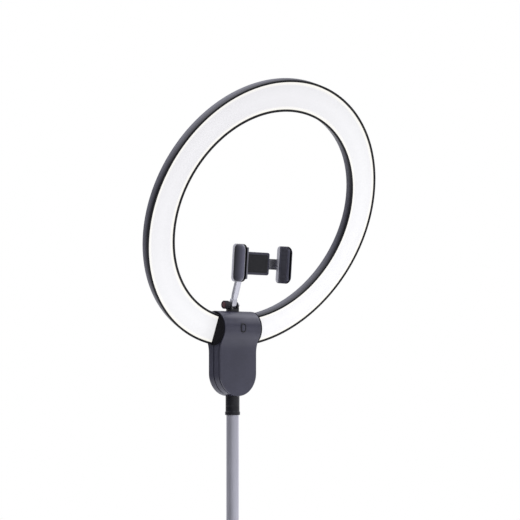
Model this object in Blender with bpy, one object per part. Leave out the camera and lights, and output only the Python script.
"""Free-standing ring light with a tilting C-shaped ring, swivelling head,
telescopic pole, weighted round base and a sprung phone clamp on a leaning arm.

Dimensions are in millimetres; finish() turns each piece into Blender metres.
+Z is up, the light faces -Y (front), left is -X, and the origin is the centre
of the foot on the floor.
"""
import math

import bmesh
import bpy
from mathutils import Matrix, Vector

MM = 0.001
GAP = 0.3                      # clearance between neighbouring pieces

# ---------------------------------------------------------------- dimensions
# base, pole and height lock
BASE_R = 150.0
BASE_SEGS = 36
BASE_BOLT_R = 6.0
TUBE_R, TUBE_WALL = 12.5, 1.2  # lower tube
TUBE_INNER_R = TUBE_R - TUBE_WALL
TUBE_BOTTOM_Z, TUBE_TOP_Z = 27.3, 590.0
POLE_R, POLE_WALL = 9.5, 1.0   # upper tube, sliding in the lower one
POLE_BOTTOM_Z, POLE_TOP_Z = 215.0, 808.5
LOCK_Z0, LOCK_Z1 = 545.0, 600.0
LOCK_STEP_Z = 590.6            # step in the lock collar's bore, above the lower tube
LOCK_SCREW_Z = 572.0
LOCK_SCREW_R, LOCK_HOLE_R = 3.6, 4.0

# swivel under the head
SWIVEL_Z = 813.3               # seam between the lower and upper collar
COLLAR_R, FLANGE_R = 10.75, 11.5
COLLAR_CHAMFER = 0.5
FLANGE_Z, COLLAR_Z = 804.5, 799.6
SPIGOT_R = 4.5
STEM_R = 6.5                   # upper collar's stem inside the head

# head
HINGE_Z = 931.5
HINGE = (0, 0, HINGE_Z)        # tilt axis of the ring, along X
LOBE_R = 26.3                  # rounded top of the head
HALF_W = 35.0                  # half width of the head
FRONT_Y, REAR_Y = -14.4, 14.4  # flat front and back
FILLET = 40.0                  # hollow blend from lobe to slab
BOTTOM_Z = 863.5               # centre of the round bottom
LOW_Z = 820.0                  # where side outlines stop, below the round bottom
SEAM_Y = 1.9                   # parting plane between front and rear shells
SEAM_FRONT_Y, SEAM_REAR_Y = SEAM_Y - GAP / 2, SEAM_Y + GAP / 2
COVER_T = 3.0                  # front cover thickness
FRONT_SHELL_T = 2.0            # front shell's wall behind the cover
SHELL_T = 2.2                  # rear shell's wall, and both shells' sides
BOSSES = [(-27.0, 896.0), (27.0, 896.0), (-19.5, 849.0), (19.5, 849.0)]   # (x, z)
BOSS_SEGS = 10
JACK_R, JACK_Z = 5.2, 868.0
BUTTON_TURN = math.radians(-1.2)
BUTTON_STRAIGHT = 4.0          # straight part of each oval's sides
CAP_W, BEZEL_W = 6.6, 10.0     # widths of the button cap and its bezel

# ring hinge
HINGE_TUBE_R = 8.0
HINGE_BORE_R = HINGE_TUBE_R + GAP
HINGE_BOSS_R = 16.0            # ring end's boss inside the bush
HINGE_BUSH_R = 20.0

# ring
RING_Y, RING_Z = -79.37, 1095.8  # centre
TILT = math.radians(23.696)    # forward lean of the ring
RING_R, HOLE_R = 210.3, 162.5  # casing outer radius and hole radius
DIFFUSER_R, DIFFUSER_HOLE_R = 206.9, 165.9
RING_T = 17.0
RING_END_X = 37.7              # where the C of the ring ends, each side
RING_STEPS = 52
RING_SCREW_X = 45.0

# phone arm
PIVOT_Z = 967.4
PIVOT = (0, 0, PIVOT_Z)        # arm hinge, along X
ARM_LEAN = math.radians(20.9)
ARM_LENGTH = 61.0              # from the pivot to the top end
ARM_BOLT_R = 2.0
ARM_FOOT_R = 4.5
BALL_Y, BALL_Z, BALL_R = -37.5, 1029.5, 7.0
BALL = (0, BALL_Y, BALL_Z)

# clamp; its y and z sizes are measured from the ball's centre
CLAMP_LEAN = math.radians(5.0)
CLAMP_X0, CLAMP_X1 = -40.6, 19.0
JAW_GAP = 39.0                 # half opening at rest
JAW_HALF_H = 28.0
SLIDE_Y0, SLIDE_Y1, SLIDE_HALF_H = -21.4, -19.2, 8.0


# ---------------------------------------------------------------- clean start
for old in list(bpy.data.objects):
    bpy.data.objects.remove(old, do_unlink=True)
SCENE = bpy.context.scene.collection


# ---------------------------------------------------------------- materials
def material(name, rgb, roughness, metallic=0.0):
    mat = bpy.data.materials.new(name)
    mat.use_nodes = True
    shader = mat.node_tree.nodes["Principled BSDF"]
    shader.inputs["Base Color"].default_value = (*rgb, 1.0)
    shader.inputs["Roughness"].default_value = roughness
    shader.inputs["Metallic"].default_value = metallic
    return mat


CHARCOAL = material("charcoal_plastic", rgb=(0.065, 0.065, 0.082), roughness=0.42)
BLACK = material("black_plastic", rgb=(0.015, 0.015, 0.018), roughness=0.38)
RUBBER = material("rubber", rgb=(0.02, 0.02, 0.021), roughness=0.8)
OPAL = material("opal_diffuser", rgb=(0.86, 0.87, 0.9), roughness=0.35)
SILVER = material("silver_satin", rgb=(0.55, 0.55, 0.6), roughness=0.32, metallic=0.9)
SILVER_PLASTIC = material("silver_plastic", rgb=(0.45, 0.45, 0.48), roughness=0.4, metallic=0.3)
STEEL = material("steel", rgb=(0.5, 0.5, 0.5), roughness=0.3, metallic=1.0)
PCB = material("circuit_board", rgb=(0.03, 0.2, 0.08), roughness=0.5)
WHITE = material("white_board", rgb=(0.8, 0.8, 0.78), roughness=0.5)
IRON = material("cast_iron_painted", rgb=(0.03, 0.03, 0.035), roughness=0.5)
RED = material("red_brown_cap", rgb=(0.16, 0.05, 0.05), roughness=0.45)
POM = material("natural_plastic", rgb=(0.6, 0.6, 0.56), roughness=0.5)


# ---------------------------------------------------------------- joints
JOINTS = {}                    # name: (empty, its world position in metres)


def joint(name, position, parent=None):
    """An empty on a joint's axis; pieces of the moving body hang from it."""
    empty = bpy.data.objects.new(name, None)
    empty.empty_display_size = 0.02
    empty.hide_render = True
    SCENE.objects.link(empty)
    world = Vector(position) * MM
    if parent:
        empty.parent = JOINTS[parent][0]
        empty.location = world - JOINTS[parent][1]
    else:
        empty.location = world
    JOINTS[name] = (empty, world)


def build_joints():
    joint("at_height", (0, 0, LOCK_Z1))
    joint("at_swivel", (0, 0, SWIVEL_Z), "at_height")
    joint("at_tilt", HINGE, "at_swivel")
    joint("at_button", (0, -LOBE_R * math.cos(BUTTON_TURN),
                        HINGE_Z - LOBE_R * math.sin(BUTTON_TURN)), "at_swivel")
    joint("at_arm", PIVOT, "at_swivel")
    joint("at_arm_knob", (-15, 0, PIVOT_Z), "at_swivel")
    joint("at_ball", BALL, "at_arm")
    joint("at_ball_nut", BALL, "at_arm")
    joint("at_spin", BALL, "at_ball")
    joint("at_jaw", (JAW_GAP, BALL_Y, BALL_Z), "at_spin")
    joint("at_lock", (0, 20, LOCK_SCREW_Z))


# ---------------------------------------------------------------- mesh helpers
def x_turn(angle, centre):
    """Pose for the shape helpers: a turn about X through centre."""
    return Matrix.Rotation(angle, 3, "X"), Vector(centre)


BUTTON_POSE = x_turn(BUTTON_TURN, HINGE)
ARM_POSE = x_turn(ARM_LEAN, PIVOT)
CLAMP_POSE = x_turn(CLAMP_LEAN, BALL)


def make(bm, pose=None):
    """Turn a bmesh into a work object, still in millimetres."""
    bmesh.ops.remove_doubles(bm, verts=bm.verts, dist=1e-5)
    bmesh.ops.recalc_face_normals(bm, faces=bm.faces)
    if pose:
        turn, centre = pose
        for vert in bm.verts:
            vert.co = turn @ (vert.co - centre) + centre
    mesh = bpy.data.meshes.new("work")
    bm.to_mesh(mesh)
    bm.free()
    ob = bpy.data.objects.new("work", mesh)
    SCENE.objects.link(ob)
    return ob


def apply_modifiers(ob):
    depsgraph = bpy.context.evaluated_depsgraph_get()
    depsgraph.update()
    mesh = bpy.data.meshes.new_from_object(ob.evaluated_get(depsgraph))
    ob.modifiers.clear()
    ob.data = mesh


def combine(ob, tools, operation, solver):
    """Apply boolean tools one after another, using them up."""
    for tool in tools:
        mod = ob.modifiers.new("bool", "BOOLEAN")
        mod.operation = operation
        mod.solver = solver
        mod.object = tool
        apply_modifiers(ob)
        bpy.data.objects.remove(tool, do_unlink=True)
    return ob


def cut(ob, *tools, solver="EXACT"):
    return combine(ob, tools, "DIFFERENCE", solver)


def join(ob, *tools, solver="EXACT"):
    return combine(ob, tools, "UNION", solver)


def bevel(ob, width, angle):
    """Chamfer the edges sharper than angle, in degrees."""
    mod = ob.modifiers.new("bevel", "BEVEL")
    mod.width = width
    mod.segments = 1
    mod.limit_method = "ANGLE"
    mod.angle_limit = math.radians(angle)
    apply_modifiers(ob)


def finish(ob, name, mat, at=None):
    """Name a piece, scale it to metres, give it its material and hang it on joint at."""
    ob.name = name
    ob.data.name = name
    bm = bmesh.new()
    bm.from_mesh(ob.data)
    bmesh.ops.remove_doubles(bm, verts=bm.verts, dist=2e-3)
    bmesh.ops.dissolve_degenerate(bm, dist=1e-3, edges=bm.edges)
    bmesh.ops.scale(bm, vec=(MM, MM, MM), verts=bm.verts)
    if at:
        empty, world = JOINTS[at]
        bmesh.ops.translate(bm, vec=-world, verts=bm.verts)
        ob.parent = empty
    bm.to_mesh(ob.data)
    bm.free()
    ob.data.materials.clear()
    ob.data.materials.append(mat)
    ob.data.shade_smooth()
    ob.data.set_sharp_from_angle(angle=math.radians(35))


# turns the lathe's own Z axis onto the named one
AXES = {"Z": Matrix.Identity(3),
        "X": Matrix(((0, 0, 1), (1, 0, 0), (0, 1, 0))),
        "Y": Matrix(((0, 1, 0), (0, 0, 1), (1, 0, 0)))}


def lathe(profile, axis="Z", at=(0, 0, 0), segs=22, pose=None):
    """Closed loop of (radius, distance along the axis) turned about an axis through at."""
    bm = bmesh.new()
    turn, origin = AXES[axis], Vector(at)
    rings = []
    for radius, h in profile:
        if radius < 1e-9:
            rings.append([bm.verts.new(turn @ Vector((0, 0, h)) + origin)])
        else:
            rings.append([bm.verts.new(turn @ Vector((
                radius * math.cos(2 * math.pi * k / segs),
                radius * math.sin(2 * math.pi * k / segs), h)) + origin)
                for k in range(segs)])
    for this, after in zip(rings, rings[1:] + rings[:1]):
        if len(this) == 1 and len(after) == 1:
            continue
        for k in range(segs):
            j = (k + 1) % segs
            if len(this) == 1:
                bm.faces.new((this[0], after[j], after[k]))
            elif len(after) == 1:
                bm.faces.new((this[k], this[j], after[0]))
            else:
                bm.faces.new((this[k], this[j], after[j], after[k]))
    return make(bm, pose)


def rod(radius, h0, h1, axis="Z", at=(0, 0, 0), segs=16, pose=None):
    return lathe([(0, h0), (radius, h0), (radius, h1), (0, h1)], axis, at, segs, pose)


def tube(inner, outer, h0, h1, axis="Z", at=(0, 0, 0), segs=22):
    return lathe([(inner, h0), (outer, h0), (outer, h1), (inner, h1)], axis, at, segs)


def prism(points, axis, low, high, pose=None):
    """Outline pushed along an axis; its pairs are YZ for X, XZ for Y and XY for Z."""
    place = {"X": lambda a, b, t: (t, a, b),
             "Y": lambda a, b, t: (a, t, b),
             "Z": lambda a, b, t: (a, b, t)}[axis]
    bm = bmesh.new()
    bottom = [bm.verts.new(place(a, b, low)) for a, b in points]
    top = [bm.verts.new(place(a, b, high)) for a, b in points]
    bm.faces.new(bottom)
    bm.faces.new(top)
    for i in range(len(points)):
        j = (i + 1) % len(points)
        bm.faces.new((bottom[i], bottom[j], top[j], top[i]))
    return make(bm, pose)


def rectangle(a0, a1, b0, b1):
    return [(a0, b0), (a1, b0), (a1, b1), (a0, b1)]


def box(x0, x1, y0, y1, z0, z1, pose=None):
    return prism(rectangle(x0, x1, y0, y1), "Z", z0, z1, pose)


def arc(a, b, radius, start, end, steps):
    """Points on a circle about (a, b), angles in degrees, both ends included."""
    angles = [math.radians(start + (end - start) * k / steps) for k in range(steps + 1)]
    return [(a + radius * math.cos(t), b + radius * math.sin(t)) for t in angles]


def rounded(a0, a1, b0, b1, radius, steps=4):
    """Rounded rectangle."""
    return (arc(a1 - radius, b1 - radius, radius, 0, 90, steps)
            + arc(a0 + radius, b1 - radius, radius, 90, 180, steps)
            + arc(a0 + radius, b0 + radius, radius, 180, 270, steps)
            + arc(a1 - radius, b0 + radius, radius, 270, 360, steps))


def hexagon(radius, a=0.0, b=0.0):
    return arc(a, b, radius, 0, 300, 5)


# ---------------------------------------------------------------- weighted base
def base_pad():
    profile = [(0, 0), (146.5, 0), (147.5, 1.0), (147.5, 2.7), (0, 2.7)]
    finish(lathe(profile, segs=BASE_SEGS), "base_pad", RUBBER)


def base_plate():
    """Domed disc, hollow underneath, with a counterbored hole for the bolt."""
    profile = [(0, 3), (22, 3), (24, 14.5), (134, 13.6), (138, 3), (148.5, 3),
               (BASE_R, 4.5), (BASE_R, 12.5), (148.6, 15.6), (145.0, 17.4),
               (138.0, 18.6), (90.0, 20.2), (33.0, 21.0), (0, 21.0)]
    plate = lathe(profile, segs=BASE_SEGS)
    cut(plate, rod(BASE_BOLT_R + GAP, 2, 24), rod(12.5, 2, 11.0))
    finish(plate, "base_plate", IRON)


def base_bolt():
    profile = [(0, 4.0), (10, 4.0), (10, 10.5), (BASE_BOLT_R, 10.7), (BASE_BOLT_R, 42), (0, 42)]
    finish(lathe(profile, segs=16), "base_bolt", STEEL)


def base_hub():
    """Flared socket that holds the lower tube."""
    socket_r, socket_z = TUBE_R + GAP, TUBE_BOTTOM_Z - GAP
    profile = [(6.4, 21.3), (29, 21.3), (30, 22.3), (30, 24.5), (22.0, 28.5), (18.5, 34),
               (17.5, 44), (17.5, 62), (16.5, 64), (socket_r, 64), (socket_r, socket_z),
               (6.4, socket_z)]
    finish(lathe(profile), "base_hub", BLACK)


def tube_plug():
    plug = tube(BASE_BOLT_R + GAP, TUBE_INNER_R - GAP, TUBE_BOTTOM_Z, 45, segs=16)
    finish(plug, "tube_plug", STEEL)


# ---------------------------------------------------------------- pole and height lock
def lock_hole(rear_y):
    """Tool for the lock screw's hole through a rear wall."""
    return rod(LOCK_HOLE_R, 5, rear_y, "Y", (0, 0, LOCK_SCREW_Z), 14)


def lower_tube():
    ob = tube(TUBE_INNER_R, TUBE_R, TUBE_BOTTOM_Z, TUBE_TOP_Z)
    finish(cut(ob, lock_hole(20)), "lower_tube", SILVER)


def lock_collar():
    """Sleeve round the lower tube's top with a block for the screw at the back."""
    bore_r = TUBE_R + GAP
    profile = [(bore_r, LOCK_Z0), (14.6, LOCK_Z0), (15.6, LOCK_Z0 + 1.5), (15.6, 594),
               (14.6, LOCK_Z1 - 1), (13.6, LOCK_Z1), (10.6, LOCK_Z1), (10.6, 596.5),
               (12.2, 596.5), (12.2, LOCK_STEP_Z), (bore_r, LOCK_STEP_Z)]
    collar = lathe(profile)
    block = rounded(-8.5, 8.5, LOCK_SCREW_Z - 12, LOCK_SCREW_Z + 12, 3)
    join(collar, prism(block, "Y", 8, 24))
    cut(collar, rod(bore_r, 540, LOCK_STEP_Z, segs=22), lock_hole(30))
    finish(collar, "lock_collar", BLACK)


def lock_bush():
    """Flanged sleeve between the two tubes."""
    bore_r, outer_r = POLE_R + GAP, TUBE_INNER_R - GAP
    profile = [(bore_r, 575), (outer_r, 575), (outer_r, 590.4), (11.9, 590.4),
               (11.9, 596.2), (bore_r, 596.2)]
    finish(cut(lathe(profile), lock_hole(20)), "lock_bush", POM)


def lock_screw():
    screw = rod(LOCK_SCREW_R, 9.9, 36, "Y", (0, 0, LOCK_SCREW_Z), 14)
    finish(screw, "lock_screw", STEEL, "at_lock")


def lock_knob():
    """Six-lobed knob with a neck on its front."""
    mean_r, wave, lobes, steps = 15.0, 1.3, 6, 36
    bore_r = LOCK_SCREW_R + GAP
    centre = (0, 0, LOCK_SCREW_Z)
    outline = []
    for k in range(steps):
        angle = 2 * math.pi * k / steps
        radius = mean_r + wave * math.cos(lobes * angle)
        outline.append((radius * math.cos(angle), LOCK_SCREW_Z + radius * math.sin(angle)))
    knob = prism(outline, "Y", 27, 43)
    bevel(knob, 1.5, 50)
    join(knob, tube(bore_r, 7.5, 24.3, 28, "Y", centre, 14))
    cut(knob, rod(bore_r, 24, 36.5, "Y", centre, 14))
    finish(knob, "lock_knob", BLACK, "at_lock")


def upper_tube():
    finish(tube(POLE_R - POLE_WALL, POLE_R, POLE_BOTTOM_Z, POLE_TOP_Z),
           "upper_tube", SILVER, "at_height")


def tube_end_bush():
    finish(tube(POLE_R + GAP, TUBE_INNER_R - GAP, POLE_BOTTOM_Z, POLE_BOTTOM_Z + 20),
           "tube_end_bush", POM, "at_height")


# ---------------------------------------------------------------- swivel
def collar_lower():
    """Flanged cap on the upper tube, below the swivel seam."""
    seam_z, bore_r = SWIVEL_Z - GAP / 2, SPIGOT_R + GAP
    profile = [(bore_r, seam_z), (COLLAR_R - COLLAR_CHAMFER, seam_z),
               (COLLAR_R, seam_z - COLLAR_CHAMFER), (COLLAR_R, FLANGE_Z + 0.4),
               (FLANGE_R - 0.3, FLANGE_Z), (FLANGE_R, FLANGE_Z - 0.3),
               (FLANGE_R, COLLAR_Z + 0.4), (FLANGE_R - 0.4, COLLAR_Z),
               (POLE_R + GAP, COLLAR_Z), (POLE_R + GAP, POLE_TOP_Z + GAP),
               (bore_r, POLE_TOP_Z + GAP)]
    finish(lathe(profile, segs=16), "collar_lower", BLACK, "at_height")


def swivel_spigot():
    plug_r = POLE_R - POLE_WALL - GAP
    profile = [(0, 770), (plug_r, 770), (plug_r, 807.5), (SPIGOT_R, 808.0),
               (SPIGOT_R, 857), (0, 857)]
    finish(lathe(profile, segs=16), "swivel_spigot", STEEL, "at_height")


def swivel_nut():
    nut = prism(hexagon(8.0), "Z", 847.6, 852.2)
    finish(cut(nut, rod(SPIGOT_R + GAP, 840, 860)), "swivel_nut", STEEL, "at_height")


def collar_upper():
    """Collar fitted to the head's round bottom, with a stem up into the head."""
    seam_z = SWIVEL_Z + GAP / 2
    profile = [(0, seam_z), (COLLAR_R - COLLAR_CHAMFER, seam_z),
               (COLLAR_R, seam_z + COLLAR_CHAMFER), (COLLAR_R, 836), (0, 836)]
    collar = lathe(profile, segs=16)
    cut(collar, tongue(-GAP, half_depth=20), solver="MANIFOLD")
    join(collar, rod(STEM_R, 820, 847.3), solver="MANIFOLD")
    cut(collar, rod(SPIGOT_R + GAP, 800, 860, segs=22), solver="MANIFOLD")
    finish(collar, "collar_upper", BLACK, "at_swivel")


# ---------------------------------------------------------------- head housing
def head_side(flat_y, inset):
    """(y, z) outline from crown to slab on flat_y's side: lobe, then hollow blend."""
    sign, depth = math.copysign(1, flat_y), abs(flat_y)
    drop = math.sqrt((LOBE_R + FILLET) ** 2 - (depth + FILLET) ** 2)
    meeting = math.degrees(math.atan2(-drop, depth + FILLET))
    lobe = arc(0, HINGE_Z, LOBE_R - inset, 90, meeting, 11)
    blend = arc(depth + FILLET, HINGE_Z - drop, FILLET + inset, 180 + meeting, 180, 4)
    return [(sign * y, z) for y, z in lobe + blend[1:]]


def front_outline(inset, y):
    """Front side outline, started behind the crown at y and run down to LOW_Z."""
    radius = LOBE_R - inset
    crown = arc(0, HINGE_Z, radius, math.degrees(math.acos(y / radius)), 90, 2)
    return crown[:-1] + head_side(FRONT_Y, inset) + [(FRONT_Y + inset, LOW_Z)]


def rear_outline(inset, y):
    """Closed rear side outline behind the plane at y."""
    top_z = math.sqrt((LOBE_R - inset) ** 2 - y ** 2) + HINGE_Z
    skin = [point for point in head_side(REAR_Y, inset) if point[0] > y]
    return [(y, top_z)] + skin + [(REAR_Y - inset, LOW_Z), (y, LOW_Z)]


def tongue(inset, half_depth=40):
    """The head's front view as a block: straight sides with a half-round bottom."""
    half_w, top_z = HALF_W - inset, 990.0
    outline = ([(half_w, top_z)] + arc(0, BOTTOM_Z, half_w, 0, -180, 18)
               + [(-half_w, top_z)])
    return prism(outline, "Y", -half_depth, half_depth)


def head_solid(outline, inset=0.0):
    """Side outline crossed with the front view."""
    half_w = HALF_W - inset
    ob = prism(outline, "X", -half_w, half_w)
    return combine(ob, [tongue(inset)], "INTERSECT", "EXACT")


def button_oval(width, y0, y1):
    """Upright oval block on the button's axis."""
    radius, shift = width / 2, BUTTON_STRAIGHT / 2
    outline = (arc(0, HINGE_Z + shift, radius, 0, 180, 5)
               + arc(0, HINGE_Z - shift, radius, 180, 360, 5))
    return prism(outline, "Y", y0, y1, BUTTON_POSE)


def at_bosses(profile):
    """One turned piece on each screw boss's axis."""
    return [lathe(profile, "Y", (x, 0, z), BOSS_SEGS) for x, z in BOSSES]


def boss_rods(radius, y0, y1):
    return [rod(radius, y0, y1, "Y", (x, 0, z), BOSS_SEGS) for x, z in BOSSES]


def arm_foot_bore():
    return rod(ARM_FOOT_R + GAP, 945, 965)


def shell_bores():
    """Tools for the hinge bushes, the collar's stem and the arm's foot."""
    return [rod(HINGE_BUSH_R + GAP, -50, 50, "X", HINGE, 28),
            rod(STEM_R + GAP, 815, 845), arm_foot_bore()]


def front_cover():
    """Skin wrapping the lobe and the flat front."""
    inner = front_outline(COVER_T, SEAM_FRONT_Y)
    cover = head_solid(front_outline(0, SEAM_FRONT_Y) + inner[::-1])
    bevel(cover, 0.5, 50)
    cut(cover, arm_foot_bore())
    cut(cover, button_oval(BEZEL_W + 2 * GAP, -32, -20))
    finish(cover, "front_cover", CHARCOAL, "at_swivel")


def front_shell():
    """Tub under the cover."""
    inset, hollow_y = COVER_T + GAP, 4.0
    shell = head_solid(front_outline(inset, SEAM_FRONT_Y) + [(SEAM_FRONT_Y, LOW_Z)])
    hollow = front_outline(inset + FRONT_SHELL_T, hollow_y) + [(hollow_y, LOW_Z)]
    cut(shell, head_solid(hollow, SHELL_T))
    join(shell, *boss_rods(4.0, -10.2, SEAM_FRONT_Y))
    cut(shell, *boss_rods(1.6, -7.5, 5))
    cut(shell, *shell_bores())
    cut(shell, button_oval(7.4, -32, -18))
    finish(shell, "front_shell", BLACK, "at_swivel")


def rear_shell():
    shell = head_solid(rear_outline(0, SEAM_REAR_Y))
    bevel(shell, 1.0, 60)
    cut(shell, head_solid(rear_outline(SHELL_T, 0.5), SHELL_T))
    join(shell, *boss_rods(4.6, SEAM_REAR_Y, 12.5))
    screw_hole = [(0, 0), (1.6, 0), (1.6, 10.5), (3.3, 10.5), (3.3, 20), (0, 20)]
    cut(shell, *at_bosses(screw_hole), solver="MANIFOLD")
    cut(shell, *shell_bores(), solver="MANIFOLD")
    cut(shell, rod(JACK_R + GAP, 5, 20, "Y", (0, 0, JACK_Z)), solver="MANIFOLD")
    finish(shell, "rear_shell", CHARCOAL, "at_swivel")


def housing_screws():
    profile = [(0, -6.5), (1.3, -6.5), (1.3, 10.8), (2.9, 10.8), (2.9, 12.6), (0, 12.6)]
    for i, screw in enumerate(at_bosses(profile), 1):
        finish(screw, f"housing_screw_{i}", STEEL, "at_swivel")


# ---------------------------------------------------------------- parts in the head
def button_bezel():
    bezel = button_oval(BEZEL_W, -27.2, -23.4)
    cut(bezel, button_oval(CAP_W + 2 * GAP, -32, -20))
    bevel(bezel, 0.6, 50)
    finish(bezel, "button_bezel", CHARCOAL, "at_swivel")


def button_cap():
    cap = button_oval(CAP_W, -26.9, -19.6)
    bevel(cap, 0.6, 50)
    finish(cap, "button_cap", CHARCOAL, "at_button")


def switch_board():
    """Small board behind the button with a square block on its front."""
    board = box(-8, 8, -17.6, -16.2, HINGE_Z - 7, HINGE_Z + 7, BUTTON_POSE)
    join(board, box(-3, 3, -18.9, -17.0, HINGE_Z - 3, HINGE_Z + 3, BUTTON_POSE))
    finish(board, "switch_board", PCB, "at_swivel")


def driver_board():
    """LED driver board with two round and three square components."""
    board = box(-22, 22, -8.7, -7.1, 860, 897)
    join(board,
         rod(4.2, -8, 0.5, "Y", (17, 0, 872)),
         rod(3.4, -8, -1.5, "Y", (-17, 0, 889)),
         box(-21, -14.5, -8, -3, 864, 876),
         box(-6, 6, -8, -4.5, 874, 886),
         box(14.5, 21, -8, -4, 884, 893))
    finish(board, "driver_board", PCB, "at_swivel")


def power_jack():
    """Flanged socket with a centre pin, open to the rear."""
    profile = [(0, 3.0), (JACK_R, 3.0), (JACK_R, 14.7), (6.6, 14.7), (6.6, 15.7),
               (6.2, 16.1), (2.9, 16.1), (2.9, 5.0), (0.9, 5.0), (0.9, 13.4), (0, 13.8)]
    finish(lathe(profile, "Y", (0, 0, JACK_Z), 16), "power_jack", BLACK, "at_swivel")


def hinge_stirrup():
    """Two cheeks on a floor plate, carrying the hinge tube."""
    inner_x, outer_x, half_foot = 10.0, 12.5, 5.5
    floor_z, neck_z = 838, HINGE_Z - 20
    cheek = arc(0, HINGE_Z, 13.0, -60, 240, 20) + [
        (-half_foot, neck_z), (-half_foot, floor_z), (half_foot, floor_z), (half_foot, neck_z)]
    stirrup = prism(cheek, "X", -outer_x, -inner_x)
    join(stirrup, prism(cheek, "X", inner_x, outer_x),
         box(-outer_x, outer_x, -8.8, 11.0, floor_z, floor_z + 4))
    cut(stirrup, rod(HINGE_BORE_R, -20, 20, "X", HINGE), rod(STEM_R + GAP, 830, 845))
    finish(stirrup, "hinge_stirrup", STEEL, "at_swivel")


def hinge_bush(side, tag):
    """Bearing in the head's side wall, flanged on the inside."""
    outer_x, step_x, inner_x = side * HALF_W, side * (HALF_W - SHELL_T - GAP), side * 29.9
    bore_r, flange_r = HINGE_BOSS_R + GAP, 20.7
    profile = [(bore_r, outer_x), (HINGE_BUSH_R, outer_x), (HINGE_BUSH_R, step_x),
               (flange_r, step_x), (flange_r, inner_x), (bore_r, inner_x)]
    finish(lathe(profile, "X", HINGE, 28), "hinge_bush_" + tag, POM, "at_swivel")


def tilt_collar(side, tag):
    finish(tube(HINGE_BORE_R, 12.0, side * 12.8, side * 20.0, "X", HINGE, 16),
           "tilt_collar_" + tag, STEEL, "at_tilt")


def hinge_tube():
    finish(tube(6.0, HINGE_TUBE_R, -36.0, 36.0, "X", HINGE, 16), "hinge_tube", STEEL, "at_tilt")


# ---------------------------------------------------------------- the ring
RING_UP = Vector((0, -math.sin(TILT), math.cos(TILT)))      # up within the ring's plane
RING_OUT = Vector((0, -math.cos(TILT), -math.sin(TILT)))    # out of its lit face
RING_CENTRE = Vector((0, RING_Y, RING_Z))
# screw height, 2 mm up the ring's plane from the hinge axis
RING_SCREW_UP = (Vector(HINGE) - RING_CENTRE).dot(RING_UP) + 2.0


def on_ring(x, up, out):
    return RING_CENTRE + Vector((x, 0, 0)) + up * RING_UP + out * RING_OUT


def c_sweep(profile, end_x):
    """Profile of (radius, out) swept round the ring, both ends flat at X = +-end_x.

    Returns the bmesh and its side faces by (step, profile edge).
    """
    bm = bmesh.new()
    rows = []
    for k in range(RING_STEPS + 1):
        row = []
        for radius, out in profile:
            start = math.asin(end_x / radius)
            angle = start + (2 * math.pi - 2 * start) * k / RING_STEPS
            row.append(bm.verts.new(
                on_ring(radius * math.sin(angle), -radius * math.cos(angle), out)))
        rows.append(row)
    faces = {}
    for k in range(RING_STEPS):
        this, after = rows[k], rows[k + 1]
        for i in range(len(profile)):
            j = (i + 1) % len(profile)
            faces[k, i] = bm.faces.new((this[i], this[j], after[j], after[i]))
    bm.faces.new(rows[0])
    bm.faces.new(rows[-1])
    return bm, faces


def ring_screw_lathe(profile, side):
    """Turned piece on the axis of one ring screw, along the ring's own normal."""
    turn = Matrix((Vector((1, 0, 0)), RING_UP, RING_OUT)).transposed()
    centre = on_ring(side * RING_SCREW_X, RING_SCREW_UP, 0)
    ob = lathe(profile, segs=12)
    for vert in ob.data.vertices:
        vert.co = turn @ vert.co + centre
    return ob


def ring_screw_rod(radius, out0, out1, side):
    return ring_screw_lathe([(0, out0), (radius, out0), (radius, out1), (0, out1)], side)


def ring_casing():
    """Channel open to the front, with a step for the diffuser at each rim."""
    profile = [(207.2, 0.0), (209.9, 0.0), (RING_R, -0.6), (209.9, -12.0), (208.4, -15.4),
               (205.6, -RING_T), (168.0, -RING_T), (165.4, -15.6), (164.2, -12.0),
               (HOLE_R, -0.6), (162.9, 0.0), (165.6, 0.0), (165.6, -3.8),
               (168.0, -3.8), (168.0, -14.8), (204.9, -14.8), (204.9, -3.8), (207.2, -3.8)]
    casing = make(c_sweep(profile, RING_END_X)[0])
    cut(casing, *[ring_screw_rod(1.7, -20, -13, side) for side in (-1, 1)])
    finish(casing, "ring_casing", CHARCOAL, "at_tilt")


def ring_diffuser():
    front, back = -1.5, -3.5
    profile = [(DIFFUSER_R, front), (DIFFUSER_R, back),
               (DIFFUSER_HOLE_R, back), (DIFFUSER_HOLE_R, front)]
    finish(make(c_sweep(profile, RING_END_X)[0]), "ring_diffuser", OPAL, "at_tilt")


def led_board():
    """C-shaped board with one row of tapered chips standing up from its front."""
    outer_r, inner_r, front, back = 204.6, 168.3, -12.9, -14.5
    chip_height, chip_shrink = 0.8, 0.55
    profile = [(outer_r, front), (188.5, front), (184.5, front), (inner_r, front),
               (inner_r, back), (outer_r, back)]
    bm, faces = c_sweep(profile, RING_END_X + 0.4)
    bmesh.ops.recalc_face_normals(bm, faces=bm.faces)
    # edge 1 of the profile is the narrow strip the chips rise from
    strip = [faces[k, 1] for k in range(4, RING_STEPS - 3, 2)]
    for chip in bmesh.ops.extrude_discrete_faces(bm, faces=strip)["faces"]:
        bmesh.ops.translate(bm, vec=RING_OUT * chip_height, verts=chip.verts)
        centre = chip.calc_center_median()
        for vert in chip.verts:
            vert.co = centre + (vert.co - centre) * chip_shrink
    board = make(bm)
    cut(board, *[ring_screw_rod(2.2, -20, -10, side) for side in (-1, 1)])
    finish(board, "led_board", WHITE, "at_tilt")


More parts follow.
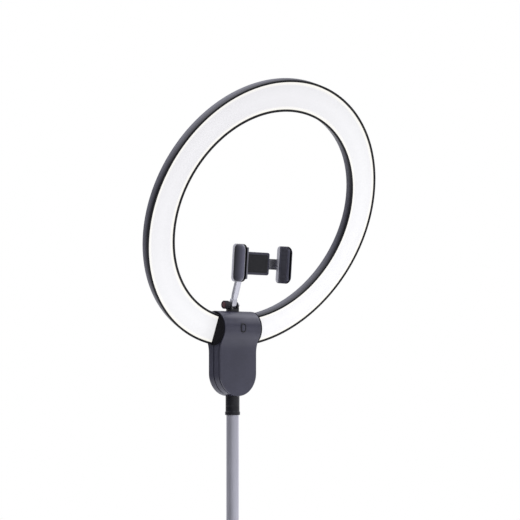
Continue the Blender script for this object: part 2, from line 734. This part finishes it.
def ring_end_tongue(side):
    """Tilted block reaching from the end boss into the ring's channel."""
    bm = bmesh.new()
    verts = [bm.verts.new(Vector(HINGE) + Vector((side * x, 0, 0)) + up * RING_UP
                          + out * RING_OUT)
             for x in (36.6, 51.0) for up in (-13.0, 15.0) for out in (-4.8, 2.5)]
    for quad in ((0, 1, 3, 2), (4, 5, 7, 6), (0, 1, 5, 4),
                 (2, 3, 7, 6), (0, 2, 6, 4), (1, 3, 7, 5)):
        bm.faces.new([verts[i] for i in quad])
    return make(bm)


def ring_end(side, tag):
    """Round hinge boss closing one end of the ring."""
    inner_x, outer_x, disc_r = HALF_W + GAP, RING_END_X - GAP, 26.0
    profile = [(0, side * inner_x), (25.2, side * inner_x), (disc_r, side * (inner_x + 0.6)),
               (disc_r, side * (outer_x - 0.5)), (25.5, side * outer_x), (0, side * outer_x)]
    ob = lathe(profile, "X", HINGE, 40)
    join(ob, rod(HINGE_BOSS_R, *sorted((side * 30.2, side * 36)), "X", HINGE, 28))
    join(ob, ring_end_tongue(side))
    cut(ob, rod(HINGE_BORE_R, *sorted((side * 25, side * 36.3)), "X", HINGE))
    cut(ob, ring_screw_rod(1.6, -20, -5.5, side))
    finish(ob, "ring_end_" + tag, BLACK, "at_tilt")


def ring_screws():
    profile = [(0, -18.9), (2.3, -18.9), (2.8, -18.4), (2.8, -17.3), (1.3, -17.3),
               (1.3, -6.5), (0, -6.5)]
    for i, side in enumerate((-1, 1), 1):
        finish(ring_screw_lathe(profile, side), f"ring_screw_{i}", STEEL, "at_tilt")


# ---------------------------------------------------------------- phone arm
def pivot_bore(x0=-20):
    return rod(ARM_BOLT_R + GAP, x0, 20, "X", PIVOT)


def arm_clevis():
    """Block saddled on the head's lobe, with two ears and a foot into the head."""
    half_x, half_y, ear_t, ear_z = 8.0, 6.25, 3.3, 960.6
    clevis = box(-half_x, half_x, -half_y, half_y, 950, 961.2)
    cut(clevis, rod(LOBE_R + GAP, -20, 20, "X", HINGE, 64))
    ear = [(half_y, ear_z)] + arc(0, PIVOT_Z, 3.7, 15, 165, 8) + [(-half_y, ear_z)]
    for x in (-half_x, half_x - ear_t):
        join(clevis, prism(ear, "X", x, x + ear_t))
    join(clevis, rod(ARM_FOOT_R, 947.0, 959.0))
    cut(clevis, pivot_bore())
    finish(clevis, "arm_clevis", BLACK, "at_swivel")


def arm_bar(half_x, half_y, h0, h1):
    """Chamfered bar along the arm; h0 and h1 are measured from the pivot."""
    chamfer = 1.5
    in_x, in_y = half_x - chamfer, half_y - chamfer
    outline = [(half_x, -in_y), (half_x, in_y), (in_x, half_y), (-in_x, half_y),
               (-half_x, in_y), (-half_x, -in_y), (-in_x, -half_y), (in_x, -half_y)]
    return prism(outline, "Z", PIVOT_Z + h0, PIVOT_Z + h1, ARM_POSE)


def arm_rod():
    eye_r, neck, neck_z = 4.4, 3.6, PIVOT_Z + 9.0
    eye = arc(0, PIVOT_Z, eye_r, 180, 360, 12) + [(neck, neck_z), (-neck, neck_z)]
    arm = prism(eye, "X", -eye_r, eye_r, ARM_POSE)
    join(arm, arm_bar(5.0, 3.7, 7.0, ARM_LENGTH))
    finish(cut(arm, pivot_bore()), "arm_rod", SILVER, "at_arm")


def ball_points(radius, count):
    """Profile points down a ball from its rear pole, 18 degrees apart."""
    return [(0, radius)] + [(radius * math.sin(math.pi * k / 10),
                             radius * math.cos(math.pi * k / 10))
                            for k in range(1, count + 1)]


def ball_cup():
    """Socket on the arm's top end; profile distances are world Y."""
    profile = [(0, -14.5), (8.6, -14.5), (9.5, -15.4), (9.5, -38.5), (0, -38.5)]
    cup = lathe(profile, "Y", (0, 0, BALL_Z))
    socket_r = BALL_R + GAP
    cut(cup, lathe(ball_points(socket_r, 9) + [(0, -socket_r)], "Y", BALL, 18),
        arm_bar(5.0 + GAP, 3.7 + GAP, 40.0, ARM_LENGTH + GAP))
    finish(cup, "ball_cup", BLACK, "at_arm")


def ball_nut():
    """Ring nut over the cup's front; profile distances are world Y."""
    profile = [(12.0, -34.5), (12.0, -41.2), (11.2, -42.0), (6.35, -42.0), (6.5, -41.0),
               (7.18, -38.8), (9.8, -38.8), (9.8, -34.5)]
    finish(lathe(profile, "Y", (0, 0, BALL_Z)), "ball_nut", BLACK, "at_ball_nut")


def arm_knob():
    """Notched knob on the left with its bolt through the clevis."""
    knob_r, notch, steps = 6.3, 0.45, 40
    outline = []
    for k in range(steps):
        angle = 2 * math.pi * k / steps
        radius = knob_r - (notch if k % 4 == 0 else 0.0)
        outline.append((radius * math.cos(angle), PIVOT_Z + radius * math.sin(angle)))
    knob = prism(outline, "X", -17.6, -9.0)
    cut(knob, rod(5.0, -20, -16.2, "X", PIVOT))
    join(knob, rod(ARM_BOLT_R, -12, 12.0, "X", PIVOT))
    finish(knob, "arm_knob", BLACK, "at_arm_knob")


def arm_knob_cap():
    profile = [(0, -17.5), (3.9, -17.3), (4.7, -16.9), (4.7, -16.5), (0, -16.5)]
    finish(lathe(profile, "X", PIVOT, 16), "arm_knob_cap", RED, "at_arm_knob")


def arm_bolt_nut():
    nut = prism(hexagon(3.9, 0, PIVOT_Z), "X", 8.3, 11.0)
    finish(cut(nut, pivot_bore(0)), "arm_bolt_nut", STEEL, "at_swivel")


# ---------------------------------------------------------------- ball and clamp
def ball_stud():
    """Ball with a neck and a flange towards the clamp."""
    neck_r, flange_r = 3.0, 8.0
    profile = ball_points(BALL_R, 8) + [
        (neck_r, -6.3), (neck_r, -11.5), (7.6, -11.5), (flange_r, -11.9), (flange_r, -13.4),
        (neck_r, -13.4), (neck_r, -18.2), (0, -18.2)]
    finish(lathe(profile, "Y", BALL, 18, CLAMP_POSE), "ball_stud", STEEL, "at_ball")


def clamp_prism(points, axis, low, high):
    """Prism measured from the ball's centre and tipped with the clamp."""
    a0, b0, start = {"X": (BALL_Y, BALL_Z, 0),
                     "Y": (0, BALL_Z, BALL_Y),
                     "Z": (0, BALL_Y, BALL_Z)}[axis]
    return prism([(a0 + a, b0 + b) for a, b in points], axis,
                 start + low, start + high, CLAMP_POSE)


def clamp_box(x0, x1, y0, y1, z0, z1):
    return clamp_prism(rectangle(x0, x1, y0, y1), "Z", z0, z1)


def clamp_slab(inset_left, inset_right, half_h, corner, y0, y1):
    """Rounded slab, set in from the body's two ends."""
    outline = rounded(CLAMP_X0 + inset_left, CLAMP_X1 - inset_right,
                      -half_h, half_h, corner, 2)
    return clamp_prism(outline, "Y", y0, y1)


def clamp_body():
    """Tray open to the front, with a stud hole and a slot for the slide plate."""
    body = clamp_slab(0, 0, 17, 3.0, -24.2, -13.8)
    cut(body, clamp_slab(2, 2, 15, 1.5, -30, -15.8),
        rod(3.3, -20, -10, "Y", BALL, pose=CLAMP_POSE),
        clamp_box(CLAMP_X1 - 4, CLAMP_X1 + 4, -22.0, -18.6, -8.6, 8.6))
    finish(body, "clamp_body", CHARCOAL, "at_spin")


def clamp_cover():
    finish(clamp_slab(0, 0, 17, 3.0, -27.0, -24.5), "clamp_cover", CHARCOAL, "at_spin")


def clamp_back_pad():
    finish(clamp_slab(5, 4, 13.5, 2.5, -28.6, -27.3), "clamp_back_pad", RUBBER, "at_spin")


def jaw_prism(side, x0, x1, y0, y1, half_h, front_r, rear_r):
    """Part of a jaw between x0 and x1 on one side, with rounded front and rear corners."""
    rear_y, front_y = y1 - rear_r, y0 + front_r
    rear_z, front_z = half_h - rear_r, half_h - front_r
    outline = (arc(rear_y, rear_z, rear_r, 90, 0, 4) + arc(rear_y, -rear_z, rear_r, 0, -90, 4)
               + arc(front_y, -front_z, front_r, -90, -180, 5)
               + arc(front_y, front_z, front_r, 180, 90, 5))
    return clamp_prism(outline, "X", *sorted((side * x0, side * x1)))


def jaw(side, tag, at):
    ob = jaw_prism(side, 40.9, 45.6, -47.5, -17.0, JAW_HALF_H, 10.0, 6.0)
    # lip that keeps the phone's front edge in
    join(ob, jaw_prism(side, 37.6, 42.0, -47.2, -44.2, JAW_HALF_H - 9.0, 1.4, 1.4))
    bevel(ob, 0.6, 60)
    if side > 0:
        # pocket for the slide plate's end
        cut(ob, clamp_box(38.0, 41.5, SLIDE_Y0, SLIDE_Y1, -SLIDE_HALF_H, SLIDE_HALF_H))
    finish(ob, "jaw_" + tag, SILVER_PLASTIC, at)


def jaw_panel(side, tag, at):
    """Thin panel on the jaw's outer face."""
    finish(jaw_prism(side, 45.9, 47.4, -47.0, -23.0, JAW_HALF_H - 0.6, 9.6, 7.0),
           "jaw_panel_" + tag, CHARCOAL, at)


def jaw_pad(side, tag, at):
    """Rubber pad on the jaw's gripping face."""
    finish(jaw_prism(side, JAW_GAP, 40.6, -43.9, -29.5, JAW_HALF_H - 2.0, 5.0, 3.0),
           "jaw_pad_" + tag, RUBBER, at)


def slide_plate():
    """Plate carrying the right jaw, with an upright ear at its left end."""
    x0, ear_x, x1 = -16.4, -13.0, 40.6
    plate = clamp_box(x0, x1, SLIDE_Y0, SLIDE_Y1, -SLIDE_HALF_H, SLIDE_HALF_H)
    join(plate, clamp_box(x0, ear_x, SLIDE_Y0, SLIDE_Y1, -SLIDE_HALF_H, 14.4))
    finish(plate, "slide_plate", STEEL, "at_jaw")


def clamp_spring():
    """Compression spring along X between the plate's ear and the body's end wall."""
    turns, steps_per_turn = 7, 7
    coil_r, wire_r = 1.9, 0.35
    x0, x1 = -12.0, 16.4
    y, z = BALL_Y - 20.3, BALL_Z + 11.6
    steps = turns * steps_per_turn
    bm = bmesh.new()
    rows = []
    for k in range(steps + 1):
        angle = 2 * math.pi * k / steps_per_turn
        centre = Vector((x0 + (x1 - x0) * k / steps, y, z))
        outward = Vector((0, math.cos(angle), math.sin(angle)))
        rows.append([bm.verts.new(centre + outward * (coil_r + wire_r * math.cos(q))
                                  + Vector((1, 0, 0)) * wire_r * math.sin(q))
                     for q in (0, math.pi / 2, math.pi, 3 * math.pi / 2)])
    for this, after in zip(rows, rows[1:]):
        for i in range(4):
            j = (i + 1) % 4
            bm.faces.new((this[i], this[j], after[j], after[i]))
    bm.faces.new(rows[0])
    bm.faces.new(rows[-1])
    finish(make(bm, CLAMP_POSE), "clamp_spring", STEEL, "at_spin")


# ---------------------------------------------------------------- build
SINGLE_PIECES = [
    base_pad, base_plate, base_bolt, base_hub, tube_plug,
    lower_tube, lock_collar, lock_bush, lock_screw, lock_knob, upper_tube, tube_end_bush,
    collar_lower, swivel_spigot, swivel_nut, collar_upper,
    front_cover, front_shell, rear_shell, housing_screws,
    button_bezel, button_cap, switch_board, driver_board, power_jack,
    hinge_stirrup, hinge_tube,
    ring_casing, ring_diffuser, led_board, ring_screws,
    arm_clevis, arm_rod, ball_cup, ball_nut, arm_knob, arm_knob_cap, arm_bolt_nut,
    ball_stud, clamp_body, clamp_cover, clamp_back_pad, slide_plate, clamp_spring,
]

build_joints()
for build_piece in SINGLE_PIECES:
    build_piece()
for hand, hand_name, jaw_joint in ((-1, "left", "at_spin"), (1, "right", "at_jaw")):
    for build_piece in (hinge_bush, tilt_collar, ring_end):
        build_piece(hand, hand_name)
    for build_piece in (jaw, jaw_panel, jaw_pad):
        build_piece(hand, hand_name, jaw_joint)
